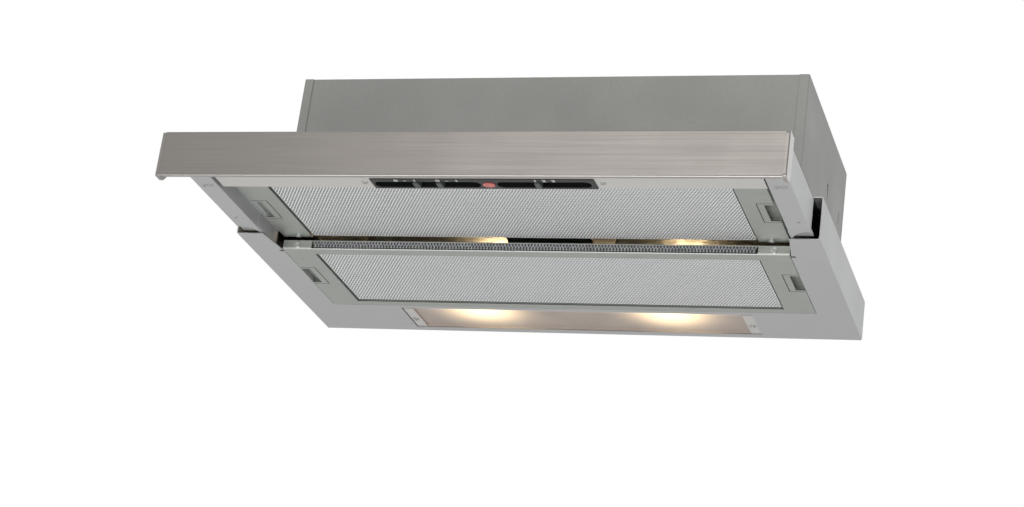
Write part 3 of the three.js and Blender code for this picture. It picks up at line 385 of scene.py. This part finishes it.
# Glazed steatite and white thermoset of the lamp holders and the terminal box: glossy off-white.
def glazedSteatite():
    material, tree, shader, place = newMaterial("glazedSteatite", {
        "Roughness": 0.28, "IOR": 1.6, "Coat Weight": 0.3})
    tint(tree, shader, spread(tree, noiseOf(tree, place, grain=9)), "#dedbd2", "#ece9e1")
    bump(tree, shader, noiseOf(tree, place, grain=2.5), depth=0.01)
    return material


# Laminated motor iron under brown varnish: a stack of half-millimetre sheets.
def varnishedIron():
    material, tree, shader, place = newMaterial("varnishedIron", {
        "Metallic": 0.6, "Roughness": 0.4, "Coat Weight": 0.3})
    layers = noiseOf(tree, place, grain=0.5, detail=0, stretch=(1, 200, 200))
    tint(tree, shader, spread(tree, layers), "#74482e", "#8f5f41")
    bump(tree, shader, layers, depth=0.05)
    return material


# Bright zinc plating on the screws, with faint turning marks.
def zincPlate():
    material, tree, shader, place = newMaterial("zincPlate", {"Metallic": 1.0, "Roughness": 0.3})
    tint(tree, shader, spread(tree, noiseOf(tree, place, grain=1.2)), "#b9bbbb", "#d6d7d6")
    roughen(tree, shader, noiseOf(tree, place, grain=0.8), 0.24, 0.4)
    return material


# White pad-printing ink of the marks over the sliders: thin, so the black dulls it a little.
def whiteInk():
    material, tree, shader, place = newMaterial("whiteInk", {"Roughness": 0.6, "IOR": 1.5})
    tint(tree, shader, spread(tree, noiseOf(tree, place, grain=0.4)), "#a9a9a9", "#c2c2c2")
    return material


# The finish of each material slot of the record.
finishes = {
    "grey_enamel": silverPowderCoat("silverPowderCoat", "#a7a8a8", "#b4b5b5"),
    "housing_enamel": coilPaint(),
    "zinc_steel": galvanisedSteel(),
    "brushed_steel": brushedStainless("brushedStainless", barColours["dark"], barColours["light"]),
    "cap_metal": brushedStainless("satinCap", barColours["cap"], barColours["capLight"],
                                  onFront=barColours["light"]),
    "filter_frame": anodisedAluminium(),
    "filter_mesh": stackedMesh(),
    "black_plastic": blackAbs("blackAbs", "#0b0b0c", "#131314", shine=0.5),
    "grey_plastic": greyPolypropylene(),
    "knob_plastic": knobAbs(),
    "pilot_red": redPolycarbonate(),
    "lens_plastic": frostedLens(),
    "bulb_glass": litGlass(),
    "white_ceramic": glazedSteatite(),
    "motor_iron": varnishedIron(),
}
slideSteel = blackenedSteel()
# Nodes whose finish differs from the others of their slot.
ownFinishes = {
    # The cross member's paler copy of the powder coat is painted light.
    "cross_member": silverPowderCoat("litPowderCoat", "#bcbab7", "#c7c5c2"),
    # The switch housing is darker than the other black plastic: painted shade in the slots it shows
    # through.
    "switch_housing": blackAbs("slotShadeBlackAbs", "#020202", "#060606", shine=0.1),
    **{f"{piece}_{side}": slideSteel for piece in ("fixed_rail", "runner") for side in ("left", "right")},
}


def dressNodes():
    for part in frame["record"]["subparts"]:
        faces = nodes[part["node"]].data
        faces.materials.clear()
        faces.materials.append(ownFinishes.get(part["node"], finishes[part["material_slot"]]))


# Widths of the soft edges on the folded and moulded solids, in mm.
edgeRounds = {
    "bar_fascia": 0.3, "cross_member": 0.25, "front_panel": 0.25, "side_panel_left": 0.25,
    "side_panel_right": 0.25, "control_panel": 0.3, "light_slider": 0.3, "motor_slider": 0.3,
    "speed_slider": 0.3, "lamp_lens": 0.3, "outlet_collar": 0.3, "top_panel": 0.3,
    "rear_filter_latch_left": 0.3, "rear_filter_latch_right": 0.3,
    "drawer_filter_latch_left": 0.3, "drawer_filter_latch_right": 0.3,
}
softEdge = {"weld": 0.002, "flatWithin": 0.5, "sharpFrom": 40, "segments": 2}  # mm and degrees


def softenEdges():
    for name, width in edgeRounds.items():
        node = nodes[name]
        weld = node.modifiers.new("weld", "WELD")
        weld.merge_threshold = softEdge["weld"] * mm
        flat = node.modifiers.new("flat", "DECIMATE")
        flat.decimate_type = "DISSOLVE"
        flat.angle_limit = math.radians(softEdge["flatWithin"])
        bevel = node.modifiers.new("bevel", "BEVEL")
        bevel.width = width * mm
        bevel.segments = softEdge["segments"]
        bevel.limit_method = "ANGLE"
        bevel.angle_limit = math.radians(softEdge["sharpFrom"])
    print(len(edgeRounds), "solids have soft edges")


def clearSelection():
    if bpy.context.object and bpy.context.object.mode != "OBJECT":
        bpy.ops.object.mode_set(mode="OBJECT")
    bpy.ops.object.select_all(action="DESELECT")


def selectOnly(piece):
    clearSelection()
    bpy.context.view_layer.objects.active = piece
    piece.select_set(True)


def applyPlace():
    bpy.ops.object.transform_apply(location=True, rotation=True, scale=True)


def applyModifiers(piece):
    selectOnly(piece)
    for modifier in list(piece.modifiers):
        bpy.ops.object.modifier_apply(modifier=modifier.name)


def finishPiece(piece, name, material, body):
    selectOnly(piece)
    applyPlace()
    piece.name = name
    piece.data.name = name
    piece.data.materials.clear()
    piece.data.materials.append(material)
    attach(piece, body)


# Expanded net of the filters, in mm: its strands, how high it lies over the frame's underside,
# and where it ends from each frame's front and rear edges.
netDesign = {"strand": 1.0, "thickness": 0.4, "wave": 0.4, "level": 1.7, "halfLength": 228.5,
             "ends": {"rear_filter_frame": (12.5, 13), "drawer_filter_frame": (16, 0.5)}}


# A grid whose cells are poked and whose old edges are dissolved leaves diamonds, whose
# middles are then opened. The poked points stand a little higher, as slit metal does.
def expandedNet(name, frameNode, body):
    low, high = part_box(frameNode)
    frontEnd, rearEnd = netDesign["ends"][frameNode]
    half = netDesign["halfLength"] * mm
    front, rear = low[1] + frontEnd * mm, high[1] - rearEnd * mm
    columns = round(2 * half / (netCell["x"] * mm))
    rows = round((rear - front) / (netCell["y"] * mm))
    cell = (2 * half / columns, (rear - front) / rows)
    clearSelection()
    bpy.ops.mesh.primitive_grid_add(x_subdivisions=columns, y_subdivisions=rows, size=1,
                                    location=(0, 0, 0))
    net = bpy.context.object
    bpy.ops.object.mode_set(mode="EDIT")
    bpy.ops.transform.resize(value=(2 * half, rear - front, 1))
    bpy.ops.transform.translate(value=(0, (front + rear) / 2, low[2] + netDesign["level"] * mm))
    shape = bmesh.from_edit_mesh(net.data)
    cornerCount = len(shape.verts)
    bpy.ops.mesh.poke()
    shape = bmesh.from_edit_mesh(net.data)
    shape.verts.ensure_lookup_table()
    bpy.ops.mesh.select_mode(type="EDGE")
    bpy.ops.mesh.select_all(action="DESELECT")
    for vertex in shape.verts[cornerCount:]:
        vertex.co.z += netDesign["wave"] * mm
    for edge in shape.edges:
        old = edge.verts[0].index < cornerCount and edge.verts[1].index < cornerCount
        edge.select_set(old and not edge.is_boundary)
    bmesh.update_edit_mesh(net.data)
    bpy.ops.mesh.dissolve_edges(use_verts=False)
    bpy.ops.mesh.select_mode(type="FACE")
    bpy.ops.mesh.select_all(action="SELECT")
    bpy.ops.mesh.inset(thickness=netDesign["strand"] / 2 * mm, use_individual=True)
    bpy.ops.mesh.delete(type="FACE")
    bpy.ops.object.mode_set(mode="OBJECT")
    wall = net.modifiers.new("thickness", "SOLIDIFY")
    wall.thickness = netDesign["thickness"] * mm
    wall.offset = 0
    applyModifiers(net)
    finishPiece(net, name, brightAluminium(name + "Metal", (-half, front), cell), body)
    print(name, "has", columns, "by", rows, "diamonds")


# A head of 6.2 mm with a cross recess, in mm at size 1. The crown's steps are shares of the
# radius inwards and of the rise upwards.
screwDesign = {"radius": 3.1, "rise": 1.5, "sides": 24, "sunk": 0.05,
               "crown": ((0.22, -0.12), (0.25, 0.18), (0.3, 0.1)),
               "recess": (3.2, 0.8, 1.0), "smoothUnder": 35}


# Pan head with a cross recess, standing on z = 0.
def panHeadScrew(size):
    radius, rise = screwDesign["radius"] * size * mm, screwDesign["rise"] * size * mm
    clearSelection()
    bpy.ops.mesh.primitive_cylinder_add(vertices=screwDesign["sides"], radius=radius, depth=rise,
                                        location=(0, 0, rise / 2 - screwDesign["sunk"] * mm))
    head = bpy.context.object
    applyPlace()
    bpy.ops.object.mode_set(mode="EDIT")
    bpy.ops.mesh.select_mode(type="FACE")
    bpy.ops.mesh.select_all(action="DESELECT")
    shape = bmesh.from_edit_mesh(head.data)
    for face in shape.faces:
        face.select_set(face.normal.z > 0.9)  # only the top
    bmesh.update_edit_mesh(head.data)
    for inwards, upwards in screwDesign["crown"]:
        bpy.ops.mesh.inset(thickness=radius * inwards)
        bpy.ops.transform.translate(value=(0, 0, rise * upwards))
    bpy.ops.object.mode_set(mode="OBJECT")
    for turn in (0, 90):
        clearSelection()
        bpy.ops.mesh.primitive_cube_add(size=1, location=(0, 0, rise))
        blade = bpy.context.object
        blade.scale = [length * size * mm for length in screwDesign["recess"]]
        blade.rotation_euler = (0, 0, math.radians(turn))
        applyPlace()
        cut = head.modifiers.new("recess", "BOOLEAN")
        cut.operation = "DIFFERENCE"
        cut.object = blade
        applyModifiers(head)
        bpy.data.objects.remove(blade)
    return head


# Copies of one small shape, each with its own mesh, laid at points in mm and joined.
def copiesOf(master, places):
    clearSelection()
    for point, direction, turn in places:
        copy = master.copy()
        copy.data = master.data.copy()
        bpy.context.scene.collection.objects.link(copy)
        facing = Vector(direction).to_track_quat("Z", "Y").to_matrix().to_4x4()
        spin = Matrix.Rotation(math.radians(turn), 4, "Z")
        copy.data.transform(Matrix.Translation(Vector(point) * mm) @ facing @ spin)
        copy.select_set(True)
        bpy.context.view_layer.objects.active = copy
    bpy.ops.object.join()
    return bpy.context.object


down, up, toRoom, toWall = (0, 0, -1), (0, 0, 1), (0, -1, 0), (0, 1, 0)
collarCircle = {"radius": 68, "middle": -110, "top": 147, "angles": (45, 135, 225, 315)}


def onCollar(angle):
    turn = math.radians(angle)
    return (collarCircle["radius"] * math.cos(turn),
            collarCircle["middle"] + collarCircle["radius"] * math.sin(turn), collarCircle["top"])


# Each screw has its place in mm, the way its head faces, and how far its cross is turned.
screwSets = {
    "armScrews": {"body": "drawer", "size": 1.05, "places": [
        ((-283.5, -382, -40.9), down, 20), ((-277, -382, -40.9), down, 65),
        ((283.5, -382, -40.9), down, 5), ((277, -382, -40.9), down, 50),
        ((-281, -275.5, -39), down, 30), ((281, -275.5, -39), down, 70)]},
    "panelScrews": {"body": "drawer", "size": 0.85, "places": [
        ((-116.5, -386, -40), down, 10), ((116.5, -386, -40), down, 55)]},
    "drawerFilterScrews": {"body": "drawer", "size": 1.0, "places": [
        ((-244, -234, -31), down, 40), ((244, -234, -31), down, 15)]},
    "rearFilterScrews": {"body": "hood_body", "size": 1.0, "places": [
        ((-246, -228.5, -39.3), toRoom, 25), ((246, -228.5, -39.3), toRoom, 60)]},
    "lensScrews": {"body": "hood_body", "size": 1.0, "places": [
        ((-181.5, -33, -43), down, 35), ((188.5, -33, -43), down, 80)]},
    "wallPanelScrews": {"body": "hood_body", "size": 1.0, "places": [
        ((side * 260.5, -1.5, height), toWall, 17 * height)
        for side in (-1, 1) for height in (14, 72, 131)]},
    "collarScrews": {"body": "hood_body", "size": 0.9, "places": [
        (onCollar(angle), up, angle * 2) for angle in collarCircle["angles"]]},
}


def addScrews():
    zinc = zincPlate()
    for name, design in screwSets.items():
        master = panHeadScrew(design["size"])
        screws = copiesOf(master, design["places"])
        bpy.data.objects.remove(master)
        bpy.ops.object.shade_smooth_by_angle(angle=math.radians(screwDesign["smoothUnder"]))
        finishPiece(screws, name, zinc, design["body"])
    print(sum(len(design["places"]) for design in screwSets.values()), "screws are in place")


# Printed marks over the sliders, in mm, each with its place along the panel.
markDesign = {"height": 6.0, "y": -391.8, "z": -41.0, "ink": 0.05, "widen": 1.35, "bold": 0.2,
              "marks": (("0", -83.5), ("-", -75), ("1", -65), ("0", -42), ("-", -33), ("1", -23.5),
                        ("1", 53), ("2", 61.5), ("3", 70.5))}


# Plain numbers, read from below with the wall at the far side.
def printMarks():
    marks = []
    faceDown = Matrix.Rotation(math.pi, 4, "X") @ Matrix.Diagonal((markDesign["widen"], 1, 1, 1))
    for text, x in markDesign["marks"]:
        clearSelection()
        bpy.ops.object.text_add(location=(0, 0, 0))
        mark = bpy.context.object
        mark.data.body = text
        mark.data.size = markDesign["height"] * mm
        mark.data.extrude = markDesign["ink"] * mm
        mark.data.offset = markDesign["bold"] * mm
        mark.data.align_x = "CENTER"
        mark.data.align_y = "CENTER"
        bpy.ops.object.convert(target="MESH")
        place = Vector((x, markDesign["y"], markDesign["z"])) * mm
        mark.data.transform(Matrix.Translation(place) @ faceDown)
        marks.append(mark)
    clearSelection()
    for mark in marks:
        mark.select_set(True)
    bpy.context.view_layer.objects.active = marks[0]
    bpy.ops.object.join()
    finishPiece(bpy.context.object, "sliderMarks", whiteInk(), "drawer")
    print(len(marks), "marks are printed")


# Place in mm, turns in degrees, focal length in pixels of the photograph's width.
photoView = {"place": (700.5, -2302.5, -899.9), "yaw": 19.055, "pitch": 21.265, "roll": 7.894,
             "focal": 2384.2, "imageWidth": 1024, "sensor": 36, "sightEnd": 60}


def addCamera():
    yaw, pitch, roll = (math.radians(photoView[name]) for name in ("yaw", "pitch", "roll"))
    turned = Matrix(((math.cos(yaw), math.sin(yaw), 0), (-math.sin(yaw), math.cos(yaw), 0), (0, 0, 1)))
    raised = Matrix(((1, 0, 0), (0, math.cos(pitch), math.sin(pitch)),
                     (0, -math.sin(pitch), math.cos(pitch))))
    towards = Matrix(((1, 0, 0), (0, 0, -1), (0, 1, 0)))
    rolled = Matrix(((math.cos(roll), -math.sin(roll), 0), (math.sin(roll), math.cos(roll), 0), (0, 0, 1)))
    toCamera = rolled @ towards @ raised @ turned
    pose = (toCamera.transposed() @ Matrix.Diagonal((1, -1, -1))).to_4x4()
    pose.translation = Vector(photoView["place"]) * mm
    bpy.ops.object.camera_add()
    camera = bpy.context.object
    camera.matrix_world = pose
    camera.data.sensor_width = photoView["sensor"]
    camera.data.lens = photoView["focal"] / photoView["imageWidth"] * photoView["sensor"]
    camera.data.clip_end = photoView["sightEnd"]
    bpy.context.scene.camera = camera
    print("the camera stands where the photograph's did")


# The two small warm lamps are inside the housing, and give the light in the gap of the filters.
studioLights = {
    "frontKey": {"place": (-0.25, -2.85, 1.1), "aim": (0.0, -0.3, 0), "size": (1.5, 0.6), "power": 8},
    "rightFill": {"place": (1.1, -1.9, 0.35), "aim": (0.25, -0.25, 0.05), "size": (0.8, 0.8), "power": 5.5},
    "underFill": {"place": (0.1, -1.3, -1.4), "aim": (0, -0.25, -0.05), "size": (2.2, 1.6), "power": 34},
    "leakLeft": {"place": (-0.112, -0.02, 0.045), "aim": (-0.112, 0, 0.066), "size": (0.03, 0.02),
                 "power": 0.22, "colour": "#ffd8a2"},
    "leakRight": {"place": (0.1, -0.012, 0.05), "aim": (0.1, 0, 0.064), "size": (0.03, 0.02),
                  "power": 0.12, "colour": "#ffd8a2"},
}


def addLights():
    for name, design in studioLights.items():
        clearSelection()
        bpy.ops.object.light_add(type="AREA", location=design["place"])
        lamp = bpy.context.object
        lamp.name = name
        lamp.visible_camera = False
        lamp.data.shape = "RECTANGLE"
        lamp.data.size, lamp.data.size_y = design["size"]
        lamp.data.energy = design["power"]
        lamp.data.color = linear(design.get("colour", "#ffffff"))[:3]
        aim = Vector(design["aim"]) - Vector(design["place"])
        lamp.rotation_euler = aim.to_track_quat("-Z", "Y").to_euler()
    print(len(studioLights), "lamps are on")


roomDesign = {"light": "#fafafa", "power": 0.68, "backdrop": "#ffffff", "floorLevel": -1.6, "floorSize": 16}


# The world lights the hood softly, and is plain white wherever it is seen or mirrored.
def addRoom():
    world = bpy.data.worlds.new("studio")
    bpy.context.scene.world = world
    world.use_nodes = True
    tree = world.node_tree
    tree.nodes.clear()
    soft = addNode(tree, "ShaderNodeBackground", {"Color": linear(roomDesign["light"]),
                                                  "Strength": roomDesign["power"]})
    white = addNode(tree, "ShaderNodeBackground", {"Color": linear(roomDesign["backdrop"]),
                                                   "Strength": 1.0})
    path = addNode(tree, "ShaderNodeLightPath").outputs
    through = calculate(tree, "MAXIMUM", path["Is Camera Ray"], path["Is Transmission Ray"])
    seen = calculate(tree, "MAXIMUM", through, path["Is Glossy Ray"])
    mix = addNode(tree, "ShaderNodeMixShader", links={
        0: seen, 1: soft.outputs["Background"], 2: white.outputs["Background"]})
    addNode(tree, "ShaderNodeOutputWorld", links={"Surface": mix.outputs["Shader"]})
    clearSelection()
    bpy.ops.mesh.primitive_plane_add(size=roomDesign["floorSize"],
                                     location=(0, 0, roomDesign["floorLevel"]))
    floor = bpy.context.object
    floor.name = "floor"
    paint, paintTree, shader, place = newMaterial("floorPaint", {"Roughness": 0.8})
    tint(paintTree, shader, spread(paintTree, noiseOf(paintTree, place, grain=400)), "#e9e9e8", "#eeeeed")
    floor.data.materials.append(paint)
    print("the floor and the world are set")


addCamera()
addLights()
addRoom()
dressNodes()
softenEdges()
expandedNet("rearFilterNet", "rear_filter_frame", "hood_body")
expandedNet("drawerFilterNet", "drawer_filter_frame", "drawer")
addScrews()
printMarks()

scene = bpy.context.scene
scene.view_settings.view_transform = "Standard"
